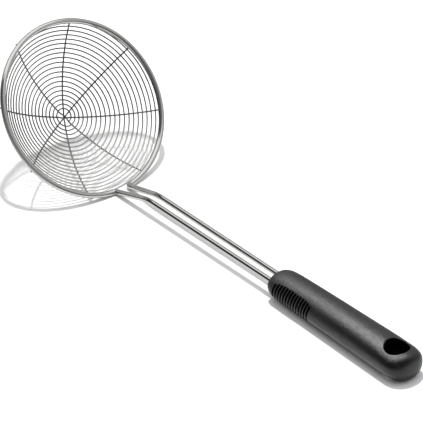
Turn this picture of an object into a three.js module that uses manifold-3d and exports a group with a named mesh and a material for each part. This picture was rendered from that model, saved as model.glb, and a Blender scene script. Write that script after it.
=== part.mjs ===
// A wire skimmer strainer lying on a table, in millimetres with +Z up.
// One bent steel rod makes the hoop, the neck and the two legs of the shank. Four bent wires cross in the
// bowl, one wire winds over them as a spiral, and a hard core in a soft ribbed grip holds the two legs.
// X runs from the hoop to the grip, and the origin is on the table under the middle of the strainer.

import * as THREE from "three";
import { mergeVertices } from "three/addons/utils/BufferGeometryUtils.js";
import Module from "manifold-3d";

// Rod: the hoop, the neck and the legs
const rodDiameter = 4;
const hoopOuterDiameter = 127;
const hoopTilt = 47.5; // degrees from the table to the plane of the hoop
const neckSpread = 11; // between the rod's centre lines where the hoop turns into the neck
const neckRun = 32.5; // along X, from the hoop to the bend at the shank
const cornerReach = 3; // length along each side that the tight bend at the hoop takes up
const neckBendReach = 6; // the same for the shallow bend at the shank
const legSpacing = 8.6; // between the centre lines of the two legs
const shankLength = 130.5; // from the bend to the front of the grip
const legInsert = 70; // length of each leg inside the grip

// Bowl: crossed spoke wires and the spiral wire that lies on them
const bowlDepth = 26.3; // from the plane of the hoop to the crossing of the spokes
const spokeDiameter = 1.1;
const spokeOverrun = 0.6; // length of a spoke past the place where it lies on the hoop
const spokeOrder = [67.5, 157.5, 112.5, 22.5]; // degrees from the neck, the lowest wire at the crossing first
const spiralDiameter = 0.9;
const spiralTurns = 19.25;
const spiralFirstAngle = 22.5; // degrees from the neck, on a spoke
const spiralFirstRadius = 5;
const spiralRimInset = 3.5; // along the bowl, from the hoop's centre line to the end of the last turn
const spiralCrowding = 0.09; // share by which the turns lie closer at both ends of the wire and wider between

// Soft grip
const gripLength = 139;
const gripWidth = 30; // across the hanging hole
const gripWaistWidth = 25.8; // where the nose has reached its full thickness
const gripThickness = 22.8;
const gripSquareness = 2.05; // 2 is an ellipse, more is squarer
const noseLength = 53;
const noseWidth = 22;
const noseThickness = 20.8;
const noseFullness = 1.1; // 1 is an even taper, more swells sooner
const noseEdge = 15.5; // length over which the front rounds off
const noseEdgeDrop = 0.35; // share of the nose's width that this rounding takes off
const tailLength = 11.6; // length of the rounded rear end
const tailFullness = 2.5;

// Hanging hole through the rear of the grip, wider at its two mouths
const holeFromRear = 16.8;
const holeLength = 17; // along the grip, at mid thickness
const holeWidth = 16;
const holeFlare = 1.5; // added to the hole's radius at each mouth
const holeFlareStart = 0.6; // share of the grip's half thickness where the flare begins

// Grip ribs: the slots between them on both sides of the grip
const slotCount = 14;
const slotPitch = 2.75;
const slotWidth = 1.5;
const slotDepth = 1.6;
const slotReach = 44; // degrees above and below the middle of the side
const slotOvalMargin = 1.9; // from the first and last slot to the ends of the oval that the slots fill
const slotOvalSquareness = 4;
const slotLean = 13; // degrees that the slots lean back at the top
const firstSlot = 7.9; // from the front of the grip

// Hard core inside the grip
const coreFront = 12; // wall of grip in front of the core
const coreLength = 88;
const coreWidth = 14.6;
const coreThickness = 12;
const coreCorner = 4;

const clearance = 0.3; // left between pieces that touch

// Steps that round shapes are made of
const rodSides = 10;
const wireSides = 6;
const loopSteps = 24; // of the spiral, in one turn
const hoopStep = 6; // degrees
const bendSteps = 6;
const gripSides = 28;
const noseEdgeRings = [0, 0.03, 0.1, 0.22, 0.38, 0.6, 1]; // shares of the rounded front
const noseRings = [0.6, 1]; // shares of the nose
const tailRings = [0, 0.3, 0.5, 0.68, 0.82, 0.92, 0.98]; // shares of the rounded rear end
const holeSides = 24;
const slotArcSteps = 6;
const cornerSteps = 3;
const weldDistance = 1e-4;

const rodRadius = rodDiameter / 2;
const spokeRadius = spokeDiameter / 2;
const spiralRadius = spiralDiameter / 2;
const hoopRadius = hoopOuterDiameter / 2 - rodRadius;
const axisHeight = gripThickness / 2;
const gripFront = neckRun + shankLength;
const gripRear = gripFront + gripLength;
const tilt = THREE.MathUtils.degToRad(hoopTilt);

// The hoop's own directions: towards the neck, across the strainer, and out of the open side of the bowl
const toNeck = new THREE.Vector3(Math.cos(tilt), 0, -Math.sin(tilt));
const across = new THREE.Vector3(0, 1, 0);
const outOfBowl = new THREE.Vector3(Math.sin(tilt), 0, Math.cos(tilt));
const hoopCentre = new THREE.Vector3(0, 0, rodRadius).addScaledVector(toNeck, -hoopRadius);

// The spokes lie on a sphere that touches the underside of the hoop, and the spiral on a smaller one inside it.
const spokeSeat = rodRadius + clearance + spokeRadius;
const capDepth = bowlDepth - spokeSeat;
const bowlCentreHeight = (hoopRadius ** 2 - capDepth ** 2) / (2 * capDepth);
const spokeSphere = bowlCentreHeight + bowlDepth;
const spiralSphere = spokeSphere - spokeRadius - clearance - spiralRadius;
const rimAngle = Math.atan2(hoopRadius, bowlCentreHeight);

const wasm = await Module();
wasm.setup();

// A closed geometry as a solid that can be cut or joined.
function solidOf(geometry) {
  const bare = geometry.clone();
  bare.deleteAttribute("normal");
  bare.deleteAttribute("uv");
  const merged = mergeVertices(bare, weldDistance);
  return new wasm.Manifold(
    new wasm.Mesh({
      numProp: 3,
      vertProperties: merged.attributes.position.array,
      triVerts: new Uint32Array(merged.index.array),
    }),
  );
}

function geometryOf(solid) {
  const mesh = solid.getMesh();
  const geometry = new THREE.BufferGeometry();
  geometry.setAttribute("position", new THREE.BufferAttribute(mesh.vertProperties, 3));
  geometry.setIndex(new THREE.BufferAttribute(mesh.triVerts, 1));
  geometry.computeVertexNormals();
  return geometry;
}

// A curve that passes through the given stations, one at each step of a sweep.
class StationCurve extends THREE.Curve {
  constructor(stations) {
    super();
    this.stations = stations;
    this.last = stations.length - 1;
  }

  getPointAt(share, target = new THREE.Vector3()) {
    return target.copy(this.stations[Math.round(share * this.last)]);
  }

  getTangentAt(share, target = new THREE.Vector3()) {
    const at = Math.round(share * this.last);
    const here = this.stations[at];
    const before = at > 0 ? here.clone().sub(this.stations[at - 1]).normalize() : new THREE.Vector3();
    const after = at < this.last ? this.stations[at + 1].clone().sub(here).normalize() : new THREE.Vector3();
    return target.addVectors(before, after).normalize();
  }
}

function polygonShape(radius, sides) {
  const corners = [];
  for (let i = 0; i < sides; i++) {
    const angle = (2 * Math.PI * i) / sides;
    corners.push(new THREE.Vector2(radius * Math.cos(angle), radius * Math.sin(angle)));
  }
  return new THREE.Shape(corners);
}

function sweep(stations, radius, sides) {
  return new THREE.ExtrudeGeometry(polygonShape(radius, sides), {
    steps: stations.length - 1,
    extrudePath: new StationCurve(stations),
  });
}

// A point of the bowl from its angle round the hoop's axis, its radius, and its height over the hoop's plane.
function bowlPoint(angle, radius, height) {
  return hoopCentre
    .clone()
    .addScaledVector(toNeck, radius * Math.cos(angle))
    .addScaledVector(across, radius * Math.sin(angle))
    .addScaledVector(outOfBowl, height);
}

// The bend from one straight run to the next, as a curve that touches both at the given reach from the corner.
function bend(from, corner, to, reachBefore, reachAfter) {
  const start = corner.clone().addScaledVector(from.clone().sub(corner).normalize(), reachBefore);
  const end = corner.clone().addScaledVector(to.clone().sub(corner).normalize(), reachAfter);
  return new THREE.QuadraticBezierCurve3(start, corner, end).getPoints(bendSteps);
}

// One leg, from its end inside the grip to the start of the hoop, on the side that the sign gives.
function legStations(side) {
  const legEnd = new THREE.Vector3(gripFront + legInsert, (side * legSpacing) / 2, axisHeight);
  const shankBend = new THREE.Vector3(neckRun, (side * legSpacing) / 2, axisHeight);
  const cornerAngle = Math.asin(neckSpread / 2 / hoopRadius);
  const corner = bowlPoint(side * cornerAngle, hoopRadius, 0);
  const hoopStart = bowlPoint(side * (cornerAngle + cornerReach / hoopRadius), hoopRadius, 0);
  const reachToHoop = corner.distanceTo(hoopStart);
  return [
    legEnd,
    ...bend(legEnd, shankBend, corner, neckBendReach, neckBendReach),
    ...bend(shankBend, corner, hoopStart, cornerReach, reachToHoop),
  ];
}

// The bends at the hoop cut their corners, so the hoop comes down until the rod lies on the table there.
hoopCentre.z += rodRadius - Math.min(...legStations(1).map((station) => station.z));

function hoopRodGeometry() {
  const firstAngle = Math.asin(neckSpread / 2 / hoopRadius) + cornerReach / hoopRadius;
  const sweepAngle = 2 * (Math.PI - firstAngle);
  const steps = Math.round(sweepAngle / THREE.MathUtils.degToRad(hoopStep) / 2) * 2;
  const hoop = [];
  for (let i = 1; i < steps; i++) {
    hoop.push(bowlPoint(firstAngle + (sweepAngle * i) / steps, hoopRadius, 0));
  }
  return sweep([...legStations(1), ...hoop, ...legStations(-1).reverse()], rodRadius, rodSides);
}

// One half of a spoke, from the crossing to its end under the hoop. At the crossing the wires lie on each
// other, so each one bows out of the sphere there by its own lift.
function halfSpoke(angle, lift) {
  const bowEnd = spiralFirstRadius / spokeSphere;
  const crossingSteps = 7;
  const bowlSteps = 10;
  const lastAngle = rimAngle + spokeOverrun / spokeSphere;
  const stations = [];
  const addOnSphere = (polar) => {
    const bow = polar < bowEnd ? lift * Math.cos((Math.PI / 2) * (polar / bowEnd)) ** 2 : 0;
    const radius = (spokeSphere - bow) * Math.sin(polar);
    stations.push(bowlPoint(angle, radius, bowlCentreHeight - (spokeSphere - bow) * Math.cos(polar)));
  };
  for (let i = 1; i <= crossingSteps; i++) {
    addOnSphere((bowEnd * i) / crossingSteps);
  }
  for (let i = 1; i <= bowlSteps; i++) {
    addOnSphere(bowEnd + ((lastAngle - bowEnd) * i) / bowlSteps);
  }
  return stations;
}

function spokeGeometry(angle, level) {
  const lift = level * (spokeDiameter + clearance);
  const crossing = bowlPoint(0, 0, lift - bowlDepth);
  const stations = [...halfSpoke(angle + Math.PI, lift).reverse(), crossing, ...halfSpoke(angle, lift)];
  return sweep(stations, spokeRadius, wireSides);
}

// The spiral's stations along its growing arc from the bowl's middle. Its two ends run on straight.
function spiralStations() {
  const firstArc = spiralSphere * Math.asin(spiralFirstRadius / spiralSphere);
  const lastArc = spiralSphere * rimAngle - spiralRimInset;
  const steps = Math.round(spiralTurns * loopSteps);
  const stations = [];
  for (let i = 0; i <= steps; i++) {
    const angle = THREE.MathUtils.degToRad(spiralFirstAngle + (360 * i) / loopSteps);
    const share = i / steps - (spiralCrowding * Math.sin((2 * Math.PI * i) / steps)) / (2 * Math.PI);
    const polar = (firstArc + (lastArc - firstArc) * share) / spiralSphere;
    const height = bowlCentreHeight - spiralSphere * Math.cos(polar);
    stations.push(bowlPoint(angle, spiralSphere * Math.sin(polar), height));
  }
  const runOn = (end, inner) => end.clone().addScaledVector(end.clone().sub(inner).normalize(), spiralDiameter);
  return [runOn(stations[0], stations[1]), ...stations, runOn(stations.at(-1), stations.at(-2))];
}

// The least gap between one turn of the wire and the next, measured between its stations.
function leastGap(stations, diameter) {
  let least = Infinity;
  for (let i = 0; i < stations.length; i++) {
    for (let j = i + loopSteps / 2; j < stations.length; j++) {
      least = Math.min(least, stations[i].distanceTo(stations[j]));
    }
  }
  return least - diameter;
}

function spiralGeometry() {
  const stations = spiralStations();
  console.log("spiral wire: least gap to itself " + leastGap(stations, spiralDiameter).toFixed(2) + " mm");
  return sweep(stations, spiralRadius, wireSides);
}

// Half the grip's width and thickness at a distance from its front.
function gripHalfSize(along) {
  const swell = 1 - (1 - Math.min(along / noseLength, 1)) ** noseFullness;
  const holeAt = gripLength - holeFromRear;
  const widening = THREE.MathUtils.clamp((along - noseLength) / (holeAt - noseLength), 0, 1);
  const intoTail = Math.max(0, (along - (gripLength - tailLength)) / tailLength);
  const tail = (1 - Math.min(intoTail, 1) ** tailFullness) ** (1 / tailFullness);
  const beforeEdge = Math.max(0, 1 - along / noseEdge);
  const edge = 1 - noseEdgeDrop * (1 - Math.sqrt(1 - beforeEdge ** 2));
  const width = noseWidth + (gripWaistWidth - noseWidth) * swell + (gripWidth - gripWaistWidth) * widening;
  const thickness = noseThickness + (gripThickness - noseThickness) * swell;
  return { width: (width / 2) * edge * tail, thickness: (thickness / 2) * edge * tail };
}

// A squared ellipse's point in the plane across the grip.
function sectionPoint(halfWidth, halfThickness, angle) {
  const power = 2 / gripSquareness;
  const c = Math.cos(angle);
  const s = Math.sin(angle);
  return new THREE.Vector2(
    halfWidth * Math.sign(c) * Math.abs(c) ** power,
    halfThickness * Math.sign(s) * Math.abs(s) ** power,
  );
}

// Rings of the grip's section joined along its length. An edge of each ring lies flat on the table.
function gripBodyGeometry() {
  const stops = [
    ...noseEdgeRings.map((share) => share * noseEdge),
    ...noseRings.map((share) => share * noseLength),
    gripLength - holeFromRear,
    ...tailRings.map((share) => gripLength - tailLength * (1 - share)),
  ];
  const flat = Math.sin(Math.PI / 2 - Math.PI / gripSides) ** (2 / gripSquareness);
  const positions = [];
  for (const along of stops) {
    const half = gripHalfSize(along);
    for (let i = 0; i < gripSides; i++) {
      const point = sectionPoint(half.width, half.thickness / flat, (2 * Math.PI * (i + 0.5)) / gripSides);
      positions.push(gripFront + along, point.x, axisHeight + point.y);
    }
  }
  const frontMiddle = positions.length / 3;
  positions.push(gripFront, 0, axisHeight);
  const rearMiddle = frontMiddle + 1;
  positions.push(gripRear, 0, axisHeight);
  const faces = [];
  for (let i = 0; i < gripSides; i++) {
    const next = (i + 1) % gripSides;
    for (let ring = 0; ring + 1 < stops.length; ring++) {
      const low = ring * gripSides;
      const high = low + gripSides;
      faces.push(low + i, low + next, high + next, low + i, high + next, high + i);
    }
    const rear = (stops.length - 1) * gripSides;
    faces.push(frontMiddle, next, i, rearMiddle, rear + i, rear + next);
  }
  const geometry = new THREE.BufferGeometry();
  geometry.setAttribute("position", new THREE.Float32BufferAttribute(positions, 3));
  geometry.setIndex(faces);
  return geometry;
}

// A bar with rounded long edges along X, centred on the grip's axis.
function coreBarGeometry(front, rear, width, thickness, corner) {
  const x = width / 2 - corner;
  const y = thickness / 2 - corner;
  const outline = new THREE.Shape();
  outline.absarc(x, y, corner, 0, Math.PI / 2);
  outline.absarc(-x, y, corner, Math.PI / 2, Math.PI);
  outline.absarc(-x, -y, corner, Math.PI, 1.5 * Math.PI);
  outline.absarc(x, -y, corner, 1.5 * Math.PI, 2 * Math.PI);
  const bar = new THREE.ExtrudeGeometry(outline, {
    depth: rear - front,
    bevelEnabled: false,
    curveSegments: cornerSteps,
  });
  bar.rotateX(Math.PI / 2).rotateZ(Math.PI / 2);
  return bar.translate(front, 0, axisHeight);
}

// The two round passages that the legs lie in, with clearance all round and at the end.
function legPassages(front) {
  const rear = gripFront + legInsert + clearance;
  const passages = [];
  for (const side of [-1, 1]) {
    const stations = [front, rear].map((x) => new THREE.Vector3(x, (side * legSpacing) / 2, axisHeight));
    passages.push(solidOf(sweep(stations, (rodRadius + clearance) / Math.cos(Math.PI / rodSides), rodSides)));
  }
  return passages;
}

function handleCoreGeometry() {
  const front = gripFront + coreFront;
  let core = solidOf(coreBarGeometry(front, front + coreLength, coreWidth, coreThickness, coreCorner));
  for (const passage of legPassages(gripFront)) {
    core = core.subtract(passage);
  }
  return geometryOf(core);
}

// The hanging hole as a solid, narrow at mid thickness and flared towards both mouths.
function hangingHole() {
  const top = gripThickness / 2;
  const radiusAt = (share) => {
    const intoFlare = Math.max(0, share - holeFlareStart) / (1 - holeFlareStart);
    return holeLength / 2 + holeFlare * intoFlare ** 2;
  };
  const outside = 1 + holeFlare / top;
  const shares = [holeFlareStart, (holeFlareStart + 1) / 2, 1, outside];
  const upper = shares.map((share) => new THREE.Vector2(radiusAt(share), share * top));
  const lower = shares.map((share) => new THREE.Vector2(radiusAt(share), -share * top)).reverse();
  const ends = [-1, 1].map((sign) => new THREE.Vector2(0, sign * outside * top));
  const hole = new THREE.LatheGeometry([ends[0], ...lower, ...upper, ends[1]], holeSides);
  hole.rotateX(Math.PI / 2).scale(1, holeWidth / holeLength, 1);
  return solidOf(hole.translate(gripRear - holeFromRear, 0, axisHeight));
}

// One slot between two ribs, on the side that the sign gives, as a bent plate that reaches out of the grip.
function ribSlot(index, side) {
  const along = firstSlot + slotPitch * index;
  const half = gripHalfSize(along);
  const halfRow = (slotPitch * (slotCount - 1)) / 2;
  const fromMiddle = (slotPitch * index - halfRow) / (halfRow + slotOvalMargin);
  const shortening = (1 - Math.abs(fromMiddle) ** slotOvalSquareness) ** (1 / slotOvalSquareness);
  const reach = THREE.MathUtils.degToRad(slotReach) * shortening;
  const outline = new THREE.Shape();
  for (let i = 0; i <= slotArcSteps; i++) {
    const angle = reach * ((2 * i) / slotArcSteps - 1);
    const inner = sectionPoint(half.width - slotDepth, half.thickness - slotDepth, angle);
    if (i === 0) outline.moveTo(inner.x, inner.y);
    else outline.lineTo(inner.x, inner.y);
  }
  const mouth = half.width + slotDepth;
  const end = sectionPoint(half.width - slotDepth, half.thickness - slotDepth, reach);
  const flareUp = end.y * (mouth / end.x);
  outline.lineTo(mouth, flareUp);
  outline.lineTo(mouth, -flareUp);
  const plate = new THREE.ExtrudeGeometry(outline, { depth: slotWidth, bevelEnabled: false });
  plate.translate(0, 0, -slotWidth / 2).rotateX(Math.PI / 2).rotateZ(Math.PI / 2);
  if (side < 0) plate.rotateX(Math.PI);
  plate.rotateY(THREE.MathUtils.degToRad(slotLean));
  return solidOf(plate.translate(gripFront + along, 0, axisHeight));
}

function gripGeometry() {
  const front = gripFront + coreFront - clearance;
  const rear = gripFront + coreFront + coreLength + clearance;
  const spread = 2 * clearance;
  const bar = [coreWidth + spread, coreThickness + spread, coreCorner + clearance];
  let grip = solidOf(gripBodyGeometry());
  grip = grip.subtract(solidOf(coreBarGeometry(front, rear, ...bar)));
  for (const passage of legPassages(gripFront - noseEdge)) {
    grip = grip.subtract(passage);
  }
  grip = grip.subtract(hangingHole());
  for (let i = 0; i < slotCount; i++) {
    grip = grip.subtract(ribSlot(i, 1)).subtract(ribSlot(i, -1));
  }
  return geometryOf(grip);
}

const steel = { color: 0xb9bbbd, metalness: 1, roughness: 0.2 };
const wire = { color: 0xa9abad, metalness: 1, roughness: 0.3 };
const hardPlastic = { color: 0x2a2a2b, metalness: 0, roughness: 0.5 };
const softRubber = { color: 0x18181a, metalness: 0, roughness: 0.6 };

const strainer = new THREE.Group();

function addPiece(name, geometry, finish) {
  const piece = new THREE.Mesh(geometry, new THREE.MeshStandardMaterial(finish));
  piece.name = name;
  strainer.add(piece);
}

addPiece("hoop_rod", hoopRodGeometry(), steel);
spokeOrder.forEach((degrees, place) => {
  const level = place - (spokeOrder.length - 1) / 2;
  addPiece("spoke_wire_" + (place + 1), spokeGeometry(THREE.MathUtils.degToRad(degrees), level), wire);
});
addPiece("spiral_wire", spiralGeometry(), wire);
addPiece("handle_core", handleCoreGeometry(), hardPlastic);
addPiece("soft_grip", gripGeometry(), softRubber);

// The far side of the hoop and the rear of the grip are the two ends of the strainer.
const hoopFarEnd = -2 * hoopRadius * Math.cos(tilt) - rodRadius;
strainer.children.forEach((piece) => piece.position.setX(-(hoopFarEnd + gripRear) / 2));

export default strainer;
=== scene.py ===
"""A wire skimmer strainer lying on a white table: polished rod, spiral wire bowl and a soft ribbed grip."""

import math

import bpy
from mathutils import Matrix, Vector


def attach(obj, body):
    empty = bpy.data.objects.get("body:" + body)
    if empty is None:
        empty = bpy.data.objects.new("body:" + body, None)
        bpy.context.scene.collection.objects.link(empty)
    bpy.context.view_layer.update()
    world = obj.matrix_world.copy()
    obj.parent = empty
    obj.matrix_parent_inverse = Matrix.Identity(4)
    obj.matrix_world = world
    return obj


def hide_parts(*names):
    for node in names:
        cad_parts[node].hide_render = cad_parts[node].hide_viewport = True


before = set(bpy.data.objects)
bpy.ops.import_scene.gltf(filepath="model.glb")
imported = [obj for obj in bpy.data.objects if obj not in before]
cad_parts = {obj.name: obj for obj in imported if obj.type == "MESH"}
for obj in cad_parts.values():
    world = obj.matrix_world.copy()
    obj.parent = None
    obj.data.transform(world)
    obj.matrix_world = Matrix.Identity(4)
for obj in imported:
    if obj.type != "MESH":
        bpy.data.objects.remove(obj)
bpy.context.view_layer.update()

MM = 0.001

# Rod, in millimetres from the middle of the strainer on the table
ROD_RADIUS = 2.0
ROD_SIDES = 32
HOOP_RADIUS = 61.5
HOOP_STEPS = 200
HOOP_CENTRE = Vector((-150.0, 0.0, 46.96))
TILT = math.radians(47.5)
NECK_SPREAD = 11.0
NECK_X = -75.95
NECK_BEND_REACH = 6.0
NECK_BEND_STEPS = 14
CORNER_REACH = 3.0
CORNER_STEPS = 20
LEG_SPACING = 8.6
LEG_END_X = 124.55
LEG_STEPS = 30
AXIS_Z = 11.4

# Domed ends of the rod and the wires: height as a share of the radius, and degrees up the dome
DOME_HEIGHT = 0.45
DOME_ANGLES = (25, 50, 72)

# Spokes: their angles from the neck in degrees, the lowest at the crossing first, and their sizes
SPOKE_ORDER = (67.5, 157.5, 112.5, 22.5)
SPOKE_RADIUS = 0.55
SPOKE_SIDES = 14
SPOKE_STEPS = 72
SPOKE_OVERRUN = 0.4
SPOKE_HOOP_GAP = 0.04
SPOKE_SEAT = ROD_RADIUS + SPOKE_RADIUS + SPOKE_HOOP_GAP
CROSSING_GAP = 0.03
CROSSING_REACH = 5.0
BOWL_DEPTH = 26.2

# Spiral wire, with lengths measured over the bowl from the crossing
SPIRAL_RADIUS = 0.5
SPIRAL_SIDES = 12
SPIRAL_TURN_STEPS = 72
SPIRAL_TURNS = 19.25
SPIRAL_END = 19.5
SPIRAL_FIRST_ANGLE = 22.5
SPIRAL_FIRST_ARC = 4.41
SPIRAL_LAST_ARC = 66.5
SPIRAL_PITCH = 3.161
SPIRAL_CROWDING = 0.517
SPIRAL_RIM_SPREAD = 0.858

# How far the turns lie off centre, away from the neck and towards -Y, and how much more at the rim
TURNS_OFF_NECK = 0.49
RIM_TURNS_OFF_NECK = 0.3
TURNS_OFF_SIDE = -0.13
RIM_TURNS_OFF_SIDE = 1.37

# Grip, with places measured from its front
GRIP_FRONT = 54.55
GRIP_LENGTH = 139.0
GRIP_WIDTH = 30.0
GRIP_WAIST = 25.8
GRIP_THICKNESS = 22.8
SQUARENESS = 2.05
UNDERSIDE_SQUARENESS = 2.4
NOSE_LENGTH = 53.0
NOSE_WIDTH = 23.5
NOSE_CORNER = 8.0
NOSE_CORNER_DROP = 0.25
NOSE_THICKNESS = 20.8
NOSE_FULLNESS = 1.1
NOSE_EDGE = 15.5
NOSE_EDGE_DROP = 0.35
NOSE_SLOPE = 28.0
NOSE_SLOPE_DROP = 0.07
TAIL_LENGTH = 15.0
TAIL_EDGE = 5.2
TAIL_EDGE_FULLNESS = 3.2
UNDER_TAIL_EDGE = 8.0
TAIL_FULLNESS = 2.5
FALL_START = 100.0
FALL_DEPTH = 2.5
GRIP_PLAIN_STEPS = 62
GRIP_TAIL_STEPS = 26
SHARP_EDGE = math.radians(38)

# Slots between the ribs
SLOT_COUNT = 14
SLOT_PITCH = 2.75
SLOT_WIDTH = 1.75
SLOT_DEPTH = 2.4
FIRST_SLOT = 7.9
SLOT_LEAN = math.tan(math.radians(13.0))
SLOT_LEAN_FADE = 40.0
SLOT_REACH = math.radians(44.0)
SLOT_OVAL_MARGIN = 1.9
SLOT_OVAL_SQUARENESS = 4

# Hanging hole
HOLE_FROM_REAR = 16.8
HOLE_LENGTH = 17.8
HOLE_WIDTH = 17.8
HOLE_SIDES = 96
HOLE_FILLET = 0.6
HOLE_FILLET_LIFT = 0.02
HOLE_TAPER = 1.4
HOLE_WAIST_LEVEL = 0.3
HOLE_LEDGE = 2.7
LEDGE_FOOT = 0.45
LEDGE_FOOT_DROP = 0.4
LEDGE_LIP = 0.15
LEDGE_RISE = 0.6
LEDGE_HALF_HEIGHT = 0.25
MOUTH_FLARE = 0.1
MOUTH_OVERSHOOT = 3.0
OUTERMOST_SHARE = 0.98

# Core inside the grip, and the passages of the two legs
CORE_FRONT = 12.0
CORE_LENGTH = 88.0
CORE_WIDTH = 14.6
CORE_THICKNESS = 12.0
CORE_CORNER = 4.0
CORE_CORNER_STEPS = 6
CORE_GAP = 0.15
PASSAGE_GAP = 0.1
PASSAGE_SIDES = 40
PASSAGE_LEAD = 5.0
PASSAGE_SPARE = 1.2

# Painted highlight along the rubber's lower edges: degrees below the middle of the side, and millimetres
# from the rear
EDGE_HIGHLIGHT_RISE = 20.0
EDGE_HIGHLIGHT_SHARPNESS = 1.6
EDGE_HIGHLIGHT_LIMIT = 30.0
EDGE_HIGHLIGHT_FALL = 8.0
EDGE_HIGHLIGHT_REAR_MARGIN = 4.0
EDGE_HIGHLIGHT_REAR_FADE = 12.0

# Shade in the hole: where it begins under the surface, and its share on the wall and on the ledge
SHADE_START = 0.2
SHADE_RUN = 0.8
WALL_SHADE = 0.95
LEDGE_SHADE = 0.8

# Colours of the steel and the rubber
POLISHED_STEEL = (0.6, 0.597, 0.585, 1.0)
WIRE_STEEL = (0.18, 0.179, 0.175, 1.0)
# Paler wire and spoke colours: a painted reflection, blended in towards the neck and the near side
PAINTED_PALE_WIRE = (0.75, 0.746, 0.731, 1.0)
SPOKE_STEEL = (0.17, 0.169, 0.165, 1.0)
PAINTED_PALE_SPOKE = (0.45, 0.448, 0.439, 1.0)
BLACK_RUBBER = (0.0024, 0.0024, 0.0025, 1.0)
DUSTY_RUBBER = (0.006, 0.006, 0.0059, 1.0)

# Fine lines along the wires, and the place along the rod, in metres, where it is worn dull
STREAKS_PER_METRE = (2600.0, 2600.0, 26.0)
ROD_WORN_AT = 0.523

# Camera: millimetres on the strainer, apart from the sensor and the lens
CAMERA_AZIMUTH = math.radians(-40.62)
CAMERA_ELEVATION = math.radians(34.3)
AIM = Vector((-108.45, 0, 1.6))
AIM_RIGHT = 61.1
AIM_DOWN = 15.4
VIEW_WIDTH = 288.62
SENSOR_WIDTH = 18.0
LENS_LENGTH = 740.0

# Room, as levels of light, and the directions in which it changes
FRONT_LEVEL = 0.17
BACK_LEVEL = 0.6
LEFT_FRONT_DROP = 0.13
END_LEVEL = 0.75
CEILING_LEVEL = 1.3
TO_LEFT_FRONT = (-0.55, -0.83, 0.0)
ACROSS_CEILING = (-0.6, 1.0, 0.0)
TABLE_HALF = 12.0

TO_NECK = Vector((math.cos(TILT), 0.0, -math.sin(TILT)))
ACROSS = Vector((0.0, 1.0, 0.0))
OUT_OF_BOWL = Vector((math.sin(TILT), 0.0, math.cos(TILT)))
CAP_DEPTH = BOWL_DEPTH - SPOKE_SEAT
BOWL_CENTRE = (HOOP_RADIUS**2 - CAP_DEPTH**2) / (2 * CAP_DEPTH)
SPOKE_SPHERE = BOWL_CENTRE + BOWL_DEPTH
SPIRAL_SPHERE = SPOKE_SPHERE - SPOKE_RADIUS - SPIRAL_RADIUS
RIM_ANGLE = math.atan2(HOOP_RADIUS, BOWL_CENTRE)
CORNER_ANGLE = math.asin(NECK_SPREAD / 2 / HOOP_RADIUS)
HOOP_START_ANGLE = CORNER_ANGLE + CORNER_REACH / HOOP_RADIUS
HOLE_CENTRE = GRIP_LENGTH - HOLE_FROM_REAR


def clamp(value):
    """The value held between 0 and 1."""
    return min(max(value, 0.0), 1.0)


# Shader building


class Channel:
    """A shader output that Python's operators act on by adding Math nodes."""

    def __init__(self, finish, output):
        self.finish = finish
        self.output = output

    def combine(self, operation, first, second):
        return self.finish.node("ShaderNodeMath", {"operation": operation}, {0: first, 1: second})

    def __add__(self, other):
        return self.combine("ADD", self, other)

    def __radd__(self, other):
        return self.combine("ADD", other, self)

    def __sub__(self, other):
        return self.combine("SUBTRACT", self, other)

    def __rsub__(self, other):
        return self.combine("SUBTRACT", other, self)

    def __mul__(self, other):
        return self.combine("MULTIPLY", self, other)

    def __rmul__(self, other):
        return self.combine("MULTIPLY", other, self)


class Finish:
    """The node tree of a material or of the world."""

    def __init__(self, owner):
        owner.use_nodes = True
        self.tree = owner.node_tree
        self.tree.nodes.clear()

    def node(self, kind, settings=None, sockets=None, output=0):
        """A node: its settings come first, then the values or links of its sockets."""
        made = self.tree.nodes.new(kind)
        for name, value in (settings or {}).items():
            setattr(made, name, value)
        for name, value in (sockets or {}).items():
            if isinstance(value, Channel):
                self.tree.links.new(value.output, made.inputs[name])
            else:
                made.inputs[name].default_value = value
        return Channel(self, made.outputs[output]) if made.outputs else made

    def blend(self, share, first, second):
        """A colour between two colours. The Mix node's colour sockets go by number."""
        sockets = {"Factor": share, 6: first, 7: second}
        return self.node("ShaderNodeMix", {"data_type": "RGBA"}, sockets, output=2)

    def layer(self, share, under, over):
        """One shader over another."""
        return self.node("ShaderNodeMixShader", {}, {0: share, 1: under, 2: over})

    def spread(self, value, low, high, to_low=0.0, to_high=1.0):
        """The value taken smoothly from one range to another."""
        return self.node(
            "ShaderNodeMapRange",
            {"interpolation_type": "SMOOTHSTEP"},
            {"Value": value, "From Min": low, "From Max": high, "To Min": to_low, "To Max": to_high},
        )

    def noise(self, place, scale, detail, roughness=0.5):
        sockets = {"Vector": place, "Scale": scale, "Detail": detail, "Roughness": roughness}
        return self.node("ShaderNodeTexNoise", {}, sockets)

    def part(self, vector, axis):
        """The X, Y or Z of a vector."""
        return self.node("ShaderNodeSeparateXYZ", {}, {"Vector": vector}, output=axis)

    def reach(self, vector, direction):
        """How far a vector goes in a direction."""
        settings = {"operation": "DOT_PRODUCT"}
        return self.node("ShaderNodeVectorMath", settings, {0: vector, 1: direction}, output="Value")


def grey(level):
    return (level, level, level, 1.0)


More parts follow.
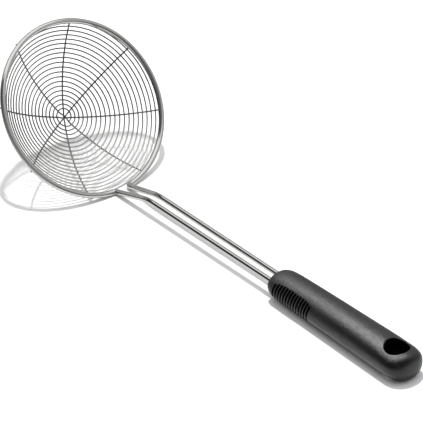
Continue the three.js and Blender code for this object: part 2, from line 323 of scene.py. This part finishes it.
def steel_finish(name, colour, roughness, streak_depth, worn_at=None, painted_pale=None):
    """Drawn and polished steel, with fine lines along the wire, faint smears and a few dull patches.

    It may be worn dull about one place along the wire, or painted paler towards the neck and the near side,
    a painted reflection.
    """
    material = bpy.data.materials.new(name)
    finish = Finish(material)
    along = finish.node("ShaderNodeAttribute", {"attribute_name": "wire_place"}, output="Vector")
    stretched = finish.node(
        "ShaderNodeVectorMath", {"operation": "MULTIPLY"}, {0: along, 1: STREAKS_PER_METRE}
    )
    streaks = finish.noise(stretched, 1.0, 3.0, 0.6)
    smears = finish.noise(along, 90.0, 4.0)
    patches = finish.spread(smears, 0.45, 0.7)
    lines = finish.spread(streaks, 0.35, 0.7)
    dull = tuple(0.9 * part for part in colour[:3]) + (1.0,)
    base = finish.blend(0.6 * lines + 0.4 * patches, colour, dull)
    rough = roughness + 0.04 * lines + 0.05 * patches
    if painted_pale:
        # Painted reflection: the colour turns paler towards the neck and towards the near side (-Y)
        place = finish.node("ShaderNodeTexCoord", output="Object")
        middle = HOOP_CENTRE.dot(TO_NECK) * MM
        neck_side = finish.spread(finish.reach(place, TO_NECK), middle - 0.01, middle + 0.045, 0.0, 0.74)
        near_side = finish.spread(finish.part(place, "Y"), -0.045, 0.02, 0.26, 0.0)
        base = finish.blend(neck_side + near_side, base, painted_pale)
    if worn_at:
        travelled = finish.part(along, "Z")
        worn = finish.spread(travelled, worn_at - 0.05, worn_at - 0.01)
        rough = rough + 0.4 * worn * finish.spread(travelled, worn_at + 0.02, worn_at + 0.06, 1.0, 0.0)
    bump = finish.node(
        "ShaderNodeBump", {}, {"Strength": streak_depth, "Distance": 0.00002, "Height": streaks}
    )
    shader = finish.node(
        "ShaderNodeBsdfPrincipled",
        {},
        {"Base Color": base, "Roughness": rough, "Metallic": 1.0, "Normal": bump},
    )
    finish.node("ShaderNodeOutputMaterial", {}, {"Surface": shader})
    return material


def rubber_finish(name):
    """Soft black rubber: a fine moulded grain, an uneven sheen, a trace of dust and a painted highlight
    along the lower edges.

    The slots, the hole and the underside facing down get painted shade: a near-black matt laid over the
    rubber.
    """
    material = bpy.data.materials.new(name)
    finish = Finish(material)
    place = finish.node("ShaderNodeTexCoord", output="Object")
    grain = finish.noise(place, 2600.0, 3.0)
    cloud = finish.noise(place, 70.0, 5.0)
    pits = finish.node("ShaderNodeTexVoronoi", {"feature": "F1"}, {"Vector": place, "Scale": 1500.0})
    mottle = finish.noise(place, 480.0, 3.0)
    dust = finish.spread(cloud, 0.48, 0.75) * finish.spread(grain, 0.4, 0.7)
    # Painted shade: a stored share paints the slots and the hole's wall near-black, deepest at the slots'
    # bottoms
    painted_hollow_shade = finish.node("ShaderNodeAttribute", {"attribute_name": "painted_hollow_shade"}, output="Fac")
    outside = 1 - painted_hollow_shade
    base = finish.blend(dust * outside, BLACK_RUBBER, DUSTY_RUBBER)
    painted_edge_highlight = finish.node("ShaderNodeAttribute", {"attribute_name": "painted_edge_highlight"}, output="Fac")
    # Painted highlight: the lower edges are painted pale grey, standing in for the table's reflection
    base = finish.blend(painted_edge_highlight * outside, base, grey(0.13))
    duller_to_nose = finish.spread(finish.part(place, "X"), 0.056, 0.193, 0.1, -0.05)
    uneven = 0.1 * finish.spread(mottle, 0.3, 0.7)
    rough = duller_to_nose + 0.31 + uneven + 0.05 * cloud + 0.03 * grain
    height = grain + 0.6 * pits + 1.8 * mottle
    bump = finish.node("ShaderNodeBump", {}, {"Strength": 0.8, "Distance": 0.0001, "Height": height})
    shader = finish.node(
        "ShaderNodeBsdfPrincipled",
        {},
        {"Base Color": base, "Roughness": rough, "IOR": 1.5, "Normal": bump},
    )
    # Painted shade: surfaces facing down, like the slots and the hole, get a near-black matt over the
    # rubber
    facing = finish.node("ShaderNodeNewGeometry", output="Normal")
    downward_shade = finish.spread(finish.part(facing, "Z"), -0.72, -0.5, 0.9, 0.0)
    painted_shade = painted_hollow_shade + outside * downward_shade
    painted_shade_black = finish.node("ShaderNodeBsdfDiffuse", {}, {"Color": grey(0.0008)})
    surface = finish.layer(painted_shade, shader, painted_shade_black)
    finish.node("ShaderNodeOutputMaterial", {}, {"Surface": surface})
    return material


def hard_plastic_finish(name):
    """Plain moulded black plastic with a fine satin grain."""
    material = bpy.data.materials.new(name)
    finish = Finish(material)
    place = finish.node("ShaderNodeTexCoord", output="Object")
    grain = finish.noise(place, 1800.0, 4.0)
    base = finish.blend(grain, grey(0.02), grey(0.035))
    bump = finish.node("ShaderNodeBump", {}, {"Strength": 0.15, "Distance": 0.0001, "Height": grain})
    shader = finish.node(
        "ShaderNodeBsdfPrincipled",
        {},
        {"Base Color": base, "Roughness": 0.4 + 0.15 * grain, "Normal": bump},
    )
    finish.node("ShaderNodeOutputMaterial", {}, {"Surface": shader})
    return material


# Meshes


def make_piece(name, points, faces, material):
    """A smooth mesh object from points in millimetres."""
    mesh = bpy.data.meshes.new(name)
    mesh.from_pydata([point * MM for point in points], [], faces)
    mesh.validate()
    mesh.polygons.foreach_set("use_smooth", [True] * len(mesh.polygons))
    if material:
        mesh.materials.append(material)
    piece = bpy.data.objects.new(name, mesh)
    bpy.context.scene.collection.objects.link(piece)
    return piece


def wall_faces(rings, sides):
    """The faces between rings of points that follow one another."""
    faces = []
    for ring in range(rings - 1):
        low = ring * sides
        high = low + sides
        for k in range(sides):
            after = (k + 1) % sides
            faces.append((low + k, low + after, high + after, high + k))
    return faces


def closed_faces(rings, sides):
    """The faces between rings of points, with the first and the last ring closed."""
    first_end = tuple(reversed(range(sides)))
    last_end = tuple(range((rings - 1) * sides, rings * sides))
    return wall_faces(rings, sides) + [first_end, last_end]


def keep_shares(piece, name, shares):
    """Keeps a share from 0 to 1 at each point, such as how deep it lies in a slot or a hole."""
    stored = piece.data.attributes.new(name, "FLOAT", "POINT")
    stored.data.foreach_set("value", shares)


def round_wire(name, path, radius, sides, material):
    """A round wire along a path, with slightly domed ends.

    Each point keeps its place along and round the wire.
    """
    last = len(path) - 1
    directions = [(path[min(i + 1, last)] - path[max(i - 1, 0)]).normalized() for i in range(last + 1)]
    first_way = directions[0]
    last_way = directions[last]
    rings = [(path[i], directions[i], radius) for i in range(last + 1)]
    for degrees in DOME_ANGLES:
        out = DOME_HEIGHT * radius * math.sin(math.radians(degrees))
        size = radius * math.cos(math.radians(degrees))
        rings.insert(0, (path[0] - first_way * out, first_way, size))
        rings.append((path[last] + last_way * out, last_way, size))
    sideways = first_way.orthogonal().normalized()
    points = []
    places = []
    travelled = 0.0
    for i, (centre, direction, size) in enumerate(rings):
        sideways = (sideways - direction * sideways.dot(direction)).normalized()
        upright = direction.cross(sideways)
        if i:
            travelled += (centre - rings[i - 1][0]).length
        for k in range(sides):
            angle = 2 * math.pi * k / sides
            cosine = math.cos(angle)
            sine = math.sin(angle)
            points.append(centre + (sideways * cosine + upright * sine) * size)
            places.append(Vector((radius * cosine, radius * sine, travelled)))
    piece = make_piece(name, points, closed_faces(len(rings), sides), material)
    stored = piece.data.attributes.new("wire_place", "FLOAT_VECTOR", "POINT")
    stored.data.foreach_set("vector", [part * MM for place in places for part in place])
    return piece


def bowl_point(angle, radius, height):
    """A point at an angle from the neck, a radius in the hoop's plane and a height out of the bowl."""
    in_plane = TO_NECK * (radius * math.cos(angle)) + ACROSS * (radius * math.sin(angle))
    return HOOP_CENTRE + in_plane + OUT_OF_BOWL * height


def sphere_point(angle, size, polar):
    """A point on a sphere about the bowl's centre, at an angle from the neck and one from the crossing."""
    return bowl_point(angle, size * math.sin(polar), BOWL_CENTRE - size * math.cos(polar))


def bend(before, corner, after, reach_before, reach_after, steps):
    """A smooth curve round a corner between two straight stretches."""
    start = corner + (before - corner).normalized() * reach_before
    end = corner + (after - corner).normalized() * reach_after
    shares = [i / steps for i in range(steps + 1)]
    return [start * (1 - t) ** 2 + corner * (2 * t * (1 - t)) + end * t**2 for t in shares]


def leg_path(side):
    """One leg from its end inside the grip to where the hoop begins."""
    leg_end = Vector((LEG_END_X, side * LEG_SPACING / 2, AXIS_Z))
    shank_bend = Vector((NECK_X, side * LEG_SPACING / 2, AXIS_Z))
    corner = bowl_point(side * CORNER_ANGLE, HOOP_RADIUS, 0)
    hoop_start = bowl_point(side * HOOP_START_ANGLE, HOOP_RADIUS, 0)
    reach = (hoop_start - corner).length
    straight_end = shank_bend + Vector((NECK_BEND_REACH, 0, 0))
    straight = [leg_end.lerp(straight_end, i / LEG_STEPS) for i in range(LEG_STEPS)]
    return (
        straight
        + bend(leg_end, shank_bend, corner, NECK_BEND_REACH, NECK_BEND_REACH, NECK_BEND_STEPS)
        + bend(shank_bend, corner, hoop_start, CORNER_REACH, reach, CORNER_STEPS)
    )


def hoop_rod(material):
    """One rod: a leg, the hoop and the other leg."""
    turn = 2 * (math.pi - HOOP_START_ANGLE)
    angles = [HOOP_START_ANGLE + turn * i / HOOP_STEPS for i in range(1, HOOP_STEPS)]
    hoop = [bowl_point(angle, HOOP_RADIUS, 0) for angle in angles]
    path = leg_path(1) + hoop + list(reversed(leg_path(-1)))
    return round_wire("polished_hoop_rod", path, ROD_RADIUS, ROD_SIDES, material)


def half_spoke(angle, lift):
    """Half a spoke, from the crossing over the bowl to its end under the hoop."""
    bow_end = CROSSING_REACH / SPOKE_SPHERE
    last = RIM_ANGLE + SPOKE_OVERRUN / SPOKE_SPHERE
    path = []
    for i in range(1, SPOKE_STEPS + 1):
        polar = last * i / SPOKE_STEPS
        bow = lift * math.cos(math.pi / 2 * polar / bow_end) ** 2 if polar < bow_end else 0.0
        path.append(sphere_point(angle, SPOKE_SPHERE - bow, polar))
    return path


def spoke_wire(place, material):
    """A spoke across the bowl, bowed at the crossing to its place in the stack."""
    angle = math.radians(SPOKE_ORDER[place])
    lift = (place - (len(SPOKE_ORDER) - 1) / 2) * (2 * SPOKE_RADIUS + CROSSING_GAP)
    crossing = bowl_point(0, 0, lift - BOWL_DEPTH)
    path = list(reversed(half_spoke(angle + math.pi, lift))) + [crossing] + half_spoke(angle, lift)
    return round_wire("bright_spoke_wire_" + str(place + 1), path, SPOKE_RADIUS, SPOKE_SIDES, material)


def spiral_arc(turns, angle):
    """How far over the bowl from the crossing the spiral has come.

    Its outer turns sit off centre, and the last runs under the hoop.
    """
    share = turns / SPIRAL_TURNS
    off_neck = TURNS_OFF_NECK + RIM_TURNS_OFF_NECK * share**3
    off_side = TURNS_OFF_SIDE + RIM_TURNS_OFF_SIDE * share**3
    arc = SPIRAL_FIRST_ARC + SPIRAL_PITCH * turns
    arc += SPIRAL_RIM_SPREAD * share**6 - SPIRAL_CROWDING * math.sin(2 * math.pi * share)
    arc -= off_neck * math.cos(angle) + off_side * math.sin(angle)
    return min(arc, SPIRAL_LAST_ARC)


def spiral_wire(material):
    """The spiral over the inside of the spokes, with a short straight length at each end."""
    path = []
    for i in range(int(SPIRAL_END * SPIRAL_TURN_STEPS) + 1):
        angle = math.radians(SPIRAL_FIRST_ANGLE + 360 / SPIRAL_TURN_STEPS * i)
        polar = spiral_arc(i / SPIRAL_TURN_STEPS, angle) / SPIRAL_SPHERE
        path.append(sphere_point(angle, SPIRAL_SPHERE, polar))
    path.insert(0, path[0] + (path[0] - path[1]).normalized())
    path.append(path[-1] + (path[-1] - path[-2]).normalized())
    return round_wire("bright_spiral_wire", path, SPIRAL_RADIUS, SPIRAL_SIDES, material)


def grip_section(along):
    """Half the grip's width and its height above and below the axis. The top falls towards the rear."""
    along = min(max(along, 0.0), GRIP_LENGTH)
    swell = 1 - (1 - clamp(along / NOSE_LENGTH)) ** NOSE_FULLNESS
    widening = clamp((along - NOSE_LENGTH) / (HOLE_CENTRE - NOSE_LENGTH))
    falling = max(0.0, (along - FALL_START) / (GRIP_LENGTH - FALL_START))

    def nose(length, drop):
        return 1 - drop * (1 - math.sqrt(1 - max(0.0, 1 - along / length) ** 2))

    def tail(length, fullness):
        into = clamp((along - (GRIP_LENGTH - length)) / length)
        return max(0.0, 1 - into**fullness) ** (1 / fullness)

    width = NOSE_WIDTH + (GRIP_WAIST - NOSE_WIDTH) * swell + (GRIP_WIDTH - GRIP_WAIST) * widening
    thickness = NOSE_THICKNESS + (GRIP_THICKNESS - NOSE_THICKNESS) * swell
    half = thickness / 2 * nose(NOSE_EDGE, NOSE_EDGE_DROP)
    slope = NOSE_SLOPE_DROP * max(0.0, 1 - along / NOSE_SLOPE) ** 2
    fall = 2 * FALL_DEPTH / GRIP_THICKNESS * falling**2
    top = half * (1 - slope - fall) * tail(TAIL_EDGE, TAIL_EDGE_FULLNESS)
    half_width = width / 2 * nose(NOSE_CORNER, NOSE_CORNER_DROP) * tail(TAIL_LENGTH, TAIL_FULLNESS)
    return half_width, top, half * tail(UNDER_TAIL_EDGE, TAIL_FULLNESS)


def section_point(section, angle, depth=0.0):
    """A point of the grip's section, or of a section that lies deeper by the same amount all round."""
    half_width, top, bottom = section
    cosine = math.cos(angle)
    sine = math.sin(angle)
    height = top if sine > 0 else bottom
    power = 2 / (SQUARENESS if sine > 0 else UNDERSIDE_SQUARENESS)
    y = math.copysign(abs(cosine) ** power, cosine) * (half_width - depth)
    z = math.copysign(abs(sine) ** power, sine) * (height - depth)
    return y, z


def ring_angles():
    """Angles round the grip, crowded where the slots end, each with the share of the slot's depth there."""
    quarter = [(angle, 1) for angle in (0, 7, 14, 21, 27, 32, 36, 39, 41)]
    quarter += [(42.2, 0.97), (43, 0.85), (43.5, 0.5), (44, 0.15), (44.6, 0.03)]
    quarter += [(angle, 0) for angle in (45.4, 47, 50, 54, 58, 63, 68, 73, 77.5, 82, 86)]
    depth_at = [(math.radians(angle), depth) for angle, depth in quarter]
    upper_right = depth_at + [(math.pi / 2, 0)]
    upper_left = [(math.pi - angle, depth) for angle, depth in reversed(depth_at)]
    lower_left = [(math.pi + angle, depth) for angle, depth in depth_at[1:]] + [(1.5 * math.pi, 0)]
    lower_right = [(2 * math.pi - angle, depth) for angle, depth in reversed(depth_at[1:])]
    return upper_right + upper_left + lower_left + lower_right


def ring_stops():
    """Places along the grip's axis with the share of the slot's depth there, from the front to the rear."""
    half = SLOT_WIDTH / 2
    edge = [(-half - 0.32, 0), (-half - 0.14, 0.0), (-half - 0.04, 0.05), (-half + 0.01, 0.2)]
    wall = edge + [(-half + 0.04, 0.6), (-half + 0.08, 0.9), (-half + 0.2, 0.99)]
    profile = wall + [(0, 1)] + [(-offset, depth) for offset, depth in reversed(wall)]
    stops = [(along, 0) for along in (0, 0.03, 0.1, 0.22, 0.4, 0.7, 1.1, 1.6, 2.3, 3.2, 4.2, 5.3, 6.3)]
    for i in range(SLOT_COUNT):
        centre = FIRST_SLOT + SLOT_PITCH * i
        stops += [(centre + offset, depth) for offset, depth in profile]
    last = stops[-1][0]
    tail_start = GRIP_LENGTH - TAIL_LENGTH
    for i in range(1, GRIP_PLAIN_STEPS):
        stops.append((last + (tail_start - last) * i / GRIP_PLAIN_STEPS, 0))
    for i in range(GRIP_TAIL_STEPS):
        stops.append((tail_start + TAIL_LENGTH * math.sin(math.pi / 2 * i / GRIP_TAIL_STEPS), 0))
    return sorted(stops)


def slot_reach(along):
    """How far a slot goes up and down from the middle of the side. The slots fill an oval."""
    half_row = SLOT_PITCH * (SLOT_COUNT - 1) / 2
    from_middle = min(abs(along - FIRST_SLOT - half_row), half_row) / (half_row + SLOT_OVAL_MARGIN)
    return SLOT_REACH * (1 - from_middle**SLOT_OVAL_SQUARENESS) ** (1 / SLOT_OVAL_SQUARENESS)


def slot_lean(along):
    """How far the slots lean back. The lean dies out in front of them and behind them."""
    row_start = FIRST_SLOT - SLOT_PITCH / 2
    last_slot = FIRST_SLOT + SLOT_PITCH * (SLOT_COUNT - 1)
    if along < row_start:
        return SLOT_LEAN * (along / row_start)
    if along > last_slot + SLOT_PITCH / 2:
        return SLOT_LEAN * max(0.0, 1 - (along - last_slot - SLOT_PITCH / 2) / SLOT_LEAN_FADE)
    return SLOT_LEAN


def drawn_to_slot(angle, reach):
    """An angle round the grip, moved so that the slot ends at its own reach."""
    side = round(angle / math.pi) * math.pi
    from_side = angle - side
    size = abs(from_side)
    if size <= SLOT_REACH:
        size *= reach / SLOT_REACH
    else:
        size = reach + (size - SLOT_REACH) * (math.pi / 2 - reach) / (math.pi / 2 - SLOT_REACH)
    return side + math.copysign(size, from_side)


def painted_edge_highlight_share(angle, along):
    """How much painted highlight the rubber gets: most along its lower edges, and not at the rear."""
    below = math.degrees(math.atan2(-math.sin(angle), abs(math.cos(angle))))
    round_grip = clamp(below / EDGE_HIGHLIGHT_RISE) ** EDGE_HIGHLIGHT_SHARPNESS * clamp((EDGE_HIGHLIGHT_LIMIT - below) / EDGE_HIGHLIGHT_FALL)
    return round_grip * clamp((GRIP_LENGTH - EDGE_HIGHLIGHT_REAR_MARGIN - along) / EDGE_HIGHLIGHT_REAR_FADE)


def grip_body(material):
    """The grip as rings of points from its front to its rear, with the slots let into its sides."""
    angles = ring_angles()
    stops = ring_stops()
    points = []
    painted_hollow_shades = []
    edge_highlight_shares = []
    for along, depth in stops:
        lean = slot_lean(along)
        reach = slot_reach(along)
        for angle, share_of_depth in angles:
            turned = drawn_to_slot(angle, reach)
            level = section_point(grip_section(along), turned)[1]
            place = along + lean * level
            y, z = section_point(grip_section(place), turned, SLOT_DEPTH * depth * share_of_depth)
            # The slot's depth share is kept as painted shade in the slots
            painted_hollow_shades.append(depth * share_of_depth)
            # Share of the painted highlight along the lower edges
            edge_highlight_shares.append(painted_edge_highlight_share(turned, place))
            points.append(Vector((GRIP_FRONT + place, y, AXIS_Z + z)))
    count = len(angles)
    faces = wall_faces(len(stops), count)
    front = len(points)
    points.append(Vector((GRIP_FRONT, 0, AXIS_Z)))
    rear = len(points)
    points.append(Vector((GRIP_FRONT + GRIP_LENGTH, 0, AXIS_Z)))
    last_ring = (len(stops) - 1) * count
    for k in range(count):
        after = (k + 1) % count
        faces.append((front, after, k))
        faces.append((rear, last_ring + k, last_ring + after))
    piece = make_piece("soft_ribbed_grip", points, faces, material)
    keep_shares(piece, "painted_hollow_shade", painted_hollow_shades + [0.0, 0.0])
    keep_shares(piece, "painted_edge_highlight", edge_highlight_shares + [0.0, 0.0])
    return piece


def surface_heights(along, across):
    """How far the grip's surface lies above and below the axis over a place on its plan."""
    half_width, top, bottom = grip_section(along)
    share = min(abs(across) / half_width, OUTERMOST_SHARE)
    return (
        top * (1 - share**SQUARENESS) ** (1 / SQUARENESS),
        bottom * (1 - share**UNDERSIDE_SQUARENESS) ** (1 / UNDERSIDE_SQUARENESS),
    )


def hole_column(cosine, sine, height):
    """Points up the hole's wall at one angle, from its waist over the ledge and out through the mouth."""
    column = [
        (-HOLE_TAPER, HOLE_WAIST_LEVEL * height),
        (-LEDGE_FOOT, height - HOLE_LEDGE - LEDGE_FOOT_DROP),
        (-LEDGE_LIP, height - HOLE_LEDGE),
        (0.0, height - HOLE_LEDGE + LEDGE_RISE),
    ]
    for turn in range(0, 91, 15):
        out = HOLE_FILLET * (1 - math.cos(math.radians(turn)))
        column.append((out, height - HOLE_FILLET * (1 - math.sin(math.radians(turn)))))
    column.append((HOLE_FILLET + MOUTH_FLARE, height + MOUTH_OVERSHOOT))
    points = []
    for out, level in column:
        along = HOLE_CENTRE + (HOLE_LENGTH / 2 + out) * cosine
        points.append((along, (HOLE_WIDTH / 2 + out) * sine, level))
    return points


def hanging_hole():
    """The hole as a solid whose two mouths open out in a fillet that follows the grip's surface."""
    columns = []
    for k in range(HOLE_SIDES):
        cosine = math.cos(2 * math.pi * k / HOLE_SIDES)
        sine = math.sin(2 * math.pi * k / HOLE_SIDES)
        rim_along = HOLE_CENTRE + (HOLE_LENGTH / 2 + HOLE_FILLET) * cosine
        above, below = surface_heights(rim_along, (HOLE_WIDTH / 2 + HOLE_FILLET) * sine)
        upper = hole_column(cosine, sine, above + HOLE_FILLET_LIFT)
        lower = hole_column(cosine, sine, below + HOLE_FILLET_LIFT)
        columns.append([(x, y, -z) for x, y, z in reversed(lower)] + upper)
    rows = len(columns[0])
    points = []
    for row in range(rows):
        for column in columns:
            x, y, z = column[row]
            points.append(Vector((GRIP_FRONT + x, y, AXIS_Z + z)))
    return make_piece("hole_cutter", points, closed_faces(rows, HOLE_SIDES), None)


def core_pocket():
    """The space inside the grip that the hard core fills."""
    half_width = CORE_WIDTH / 2 - CORE_CORNER
    half_height = CORE_THICKNESS / 2 - CORE_CORNER
    size = CORE_CORNER + CORE_GAP
    outline = []
    for quarter, (across, up) in enumerate(((1, 1), (-1, 1), (-1, -1), (1, -1))):
        for i in range(CORE_CORNER_STEPS + 1):
            angle = math.pi / 2 * (quarter + i / CORE_CORNER_STEPS)
            y = across * half_width + size * math.cos(angle)
            z = up * half_height + size * math.sin(angle)
            outline.append((y, z))
    front = GRIP_FRONT + CORE_FRONT
    ends = (front - CORE_GAP, front + CORE_LENGTH + CORE_GAP)
    points = [Vector((end, y, AXIS_Z + z)) for end in ends for y, z in outline]
    return make_piece("core_cutter", points, closed_faces(len(ends), len(outline)), None)


def leg_passage(side):
    """The space inside the grip that one leg fills."""
    start = Vector((GRIP_FRONT - PASSAGE_LEAD, side * LEG_SPACING / 2, AXIS_Z))
    end = Vector((LEG_END_X + PASSAGE_SPARE, side * LEG_SPACING / 2, AXIS_Z))
    return round_wire("passage_cutter", [start, end], ROD_RADIUS + PASSAGE_GAP, PASSAGE_SIDES, None)


def cut(piece, cutters):
    """Takes the cutters out of a piece and removes them."""
    for cutter in cutters:
        step = piece.modifiers.new("cut", "BOOLEAN")
        step.operation = "DIFFERENCE"
        step.solver = "EXACT"
        step.object = cutter
    shaped = piece.evaluated_get(bpy.context.evaluated_depsgraph_get())
    mesh = bpy.data.meshes.new_from_object(shaped)
    piece.modifiers.clear()
    piece.data = mesh
    mesh.set_sharp_from_angle(angle=SHARP_EDGE)
    for cutter in cutters:
        bpy.data.objects.remove(cutter)


def shade_hole(grip):
    """Paints shade on the hole's wall, nearly black below its mouth. Its ledge gets a little less painted
    shade and keeps a little of the sheen.
    """
    kept = grip.data.attributes["painted_hollow_shade"].data
    reach = HOLE_LENGTH / 2 + HOLE_FILLET
    for point in grip.data.vertices:
        place = point.co / MM
        along = place.x - GRIP_FRONT - GRIP_LENGTH + HOLE_FROM_REAR
        if math.hypot(along, place.y) > reach:
            continue
        above, below = surface_heights(place.x - GRIP_FRONT, place.y)
        level = place.z - AXIS_Z
        depth = above - level if level > 0 else below + level
        on_ledge = abs(depth - HOLE_LEDGE) < LEDGE_HALF_HEIGHT
        share = clamp((depth - SHADE_START) / SHADE_RUN)
        kept[point.index].value = (LEDGE_SHADE if on_ledge else WALL_SHADE) * share


def soft_grip(material):
    """The grip, hollowed for the core and the legs and pierced by the hanging hole."""
    grip = grip_body(material)
    passages = [leg_passage(side) for side in (-1, 1)]
    cut(grip, [core_pocket(), *passages, hanging_hole()])
    shade_hole(grip)
    return grip


# The strainer

polished = steel_finish("polished_rod_steel", POLISHED_STEEL, 0.04, 0.15, worn_at=ROD_WORN_AT)
bright = steel_finish("bright_wire_steel", WIRE_STEEL, 0.18, 0.2, painted_pale=PAINTED_PALE_WIRE)
drawn = steel_finish("drawn_spoke_steel", SPOKE_STEEL, 0.2, 0.2, painted_pale=PAINTED_PALE_SPOKE)
rubber = rubber_finish("soft_black_rubber")
plastic = hard_plastic_finish("hard_core_plastic")


def add_to_strainer(piece, node):
    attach(piece, "root")
    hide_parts(node)


add_to_strainer(hoop_rod(polished), "hoop_rod")
for place in range(len(SPOKE_ORDER)):
    add_to_strainer(spoke_wire(place, drawn), "spoke_wire_" + str(place + 1))
add_to_strainer(spiral_wire(bright), "spiral_wire")
grip = soft_grip(rubber)
add_to_strainer(grip, "soft_grip")

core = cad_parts["handle_core"]
core.data.materials.clear()
core.data.materials.append(plastic)


# Table, light and camera


def table_finish(name):
    """Plain white that keeps the strainer's shadow. In reflections it is darker, most at a low angle."""
    material = bpy.data.materials.new(name)
    finish = Finish(material)
    from_camera = finish.node("ShaderNodeLightPath", output="Is Camera Ray")
    from_gloss = finish.node("ShaderNodeLightPath", output="Is Glossy Ray")
    from_glass = finish.node("ShaderNodeLightPath", output="Is Transmission Ray")
    place = finish.node("ShaderNodeTexCoord", output="Object")
    distance = finish.node("ShaderNodeVectorMath", {"operation": "LENGTH"}, {0: place}, output="Value")
    far = finish.spread(distance, 0.35, 0.9)
    glancing = finish.node("ShaderNodeLayerWeight", {}, {"Blend": 0.5}, output="Facing")
    dim = from_gloss * finish.spread(1 - glancing, 0.03, 0.5, 0.9, 0.12)
    lit = finish.node("ShaderNodeBsdfDiffuse", {}, {"Color": grey(0.9)})
    white = finish.node("ShaderNodeEmission", {}, {"Color": grey(1.0), "Strength": 1.0})
    shade = finish.node("ShaderNodeEmission", {}, {"Color": grey(0.0), "Strength": 0.0})
    seen = (from_camera + from_gloss + from_glass) * (0.05 + 0.95 * far)
    shader = finish.layer(dim, finish.layer(seen, lit, white), shade)
    finish.node("ShaderNodeOutputMaterial", {}, {"Surface": shader})
    return material


def white_table():
    mesh = bpy.data.meshes.new("white_table")
    corners = [(x * TABLE_HALF, y * TABLE_HALF, 0) for x, y in ((-1, -1), (1, -1), (1, 1), (-1, 1))]
    mesh.from_pydata(corners, [], [(0, 1, 2, 3)])
    mesh.materials.append(table_finish("white_table_top"))
    table = bpy.data.objects.new("white_table", mesh)
    bpy.context.scene.collection.objects.link(table)


def studio_walls():
    """A soft ceiling, light walls behind the table and at the hoop's end, and a darker room in front.

    In reflections the ceiling stops short of the front.
    """
    world = bpy.data.worlds.new("studio")
    bpy.context.scene.world = world
    finish = Finish(world)
    direction = finish.node("ShaderNodeTexCoord", output="Generated")
    front_to_back = finish.spread(finish.part(direction, "Y"), 0.15, 0.5, FRONT_LEVEL, BACK_LEVEL)
    to_left_front = finish.reach(direction, TO_LEFT_FRONT)
    room = front_to_back - finish.spread(to_left_front, 0.4, 0.9, 0.0, LEFT_FRONT_DROP)
    hoop_end = finish.spread(finish.part(direction, "X"), -0.86, -0.76, 1.0, 0.0)
    walls = room + hoop_end * (END_LEVEL - room)
    from_gloss = finish.node("ShaderNodeLightPath", output="Is Glossy Ray")
    across_ceiling = finish.reach(direction, ACROSS_CEILING)
    front_edge = 1 - from_gloss * finish.spread(across_ceiling, -0.3, -0.12, 1.0, 0.0)
    ceiling = finish.spread(finish.part(direction, "Z"), 0.71, 0.77) * front_edge
    level = walls + ceiling * (CEILING_LEVEL - walls)
    shader = finish.node("ShaderNodeBackground", {}, {"Color": grey(1.0), "Strength": level})
    finish.node("ShaderNodeOutputWorld", {}, {"Surface": shader})


def soft_lamp(name, towards, distance, width, depth, power):
    """A rectangular lamp in a direction from the strainer, in metres and watts."""
    lamp = bpy.data.lights.new(name, "AREA")
    lamp.shape = "RECTANGLE"
    lamp.size = width
    lamp.size_y = depth
    lamp.energy = power
    piece = bpy.data.objects.new(name, lamp)
    piece.location = Vector(towards).normalized() * distance
    piece.rotation_euler = Vector(towards).to_track_quat("Z", "Y").to_euler()
    bpy.context.scene.collection.objects.link(piece)
    return piece


def camera():
    """A camera with a long lens, in front of the strainer and towards its grip."""
    level = math.cos(CAMERA_ELEVATION)
    towards = Vector(
        (level * math.cos(CAMERA_AZIMUTH), level * math.sin(CAMERA_AZIMUTH), math.sin(CAMERA_ELEVATION))
    )
    right = Vector((-math.sin(CAMERA_AZIMUTH), math.cos(CAMERA_AZIMUTH), 0))
    up = towards.cross(right)
    middle = right * AIM_RIGHT - up * AIM_DOWN + AIM
    lens = bpy.data.cameras.new("camera")
    lens.sensor_width = SENSOR_WIDTH
    lens.lens = LENS_LENGTH
    distance = VIEW_WIDTH * LENS_LENGTH / SENSOR_WIDTH
    piece = bpy.data.objects.new("camera", lens)
    piece.location = (middle + towards * distance) * MM
    piece.rotation_euler = towards.to_track_quat("Z", "Y").to_euler()
    bpy.context.scene.collection.objects.link(piece)
    bpy.context.scene.camera = piece


white_table()
studio_walls()
overhead = soft_lamp(
    "overhead_lamp", towards=(-0.564, 0.36, 3.2), distance=3.269, width=0.168, depth=0.168, power=88.6
)
overhead.visible_glossy = False
softbox = soft_lamp(
    "end_softbox", towards=(-0.49, -0.06, 0.872), distance=1.5, width=1.2, depth=0.6, power=26.0
)
softbox.visible_diffuse = False
lit_by_softbox = bpy.data.collections.new("lit_by_softbox")
lit_by_softbox.objects.link(grip)
softbox.light_linking.receiver_collection = lit_by_softbox
camera()
bpy.context.scene.view_settings.view_transform = "Standard"
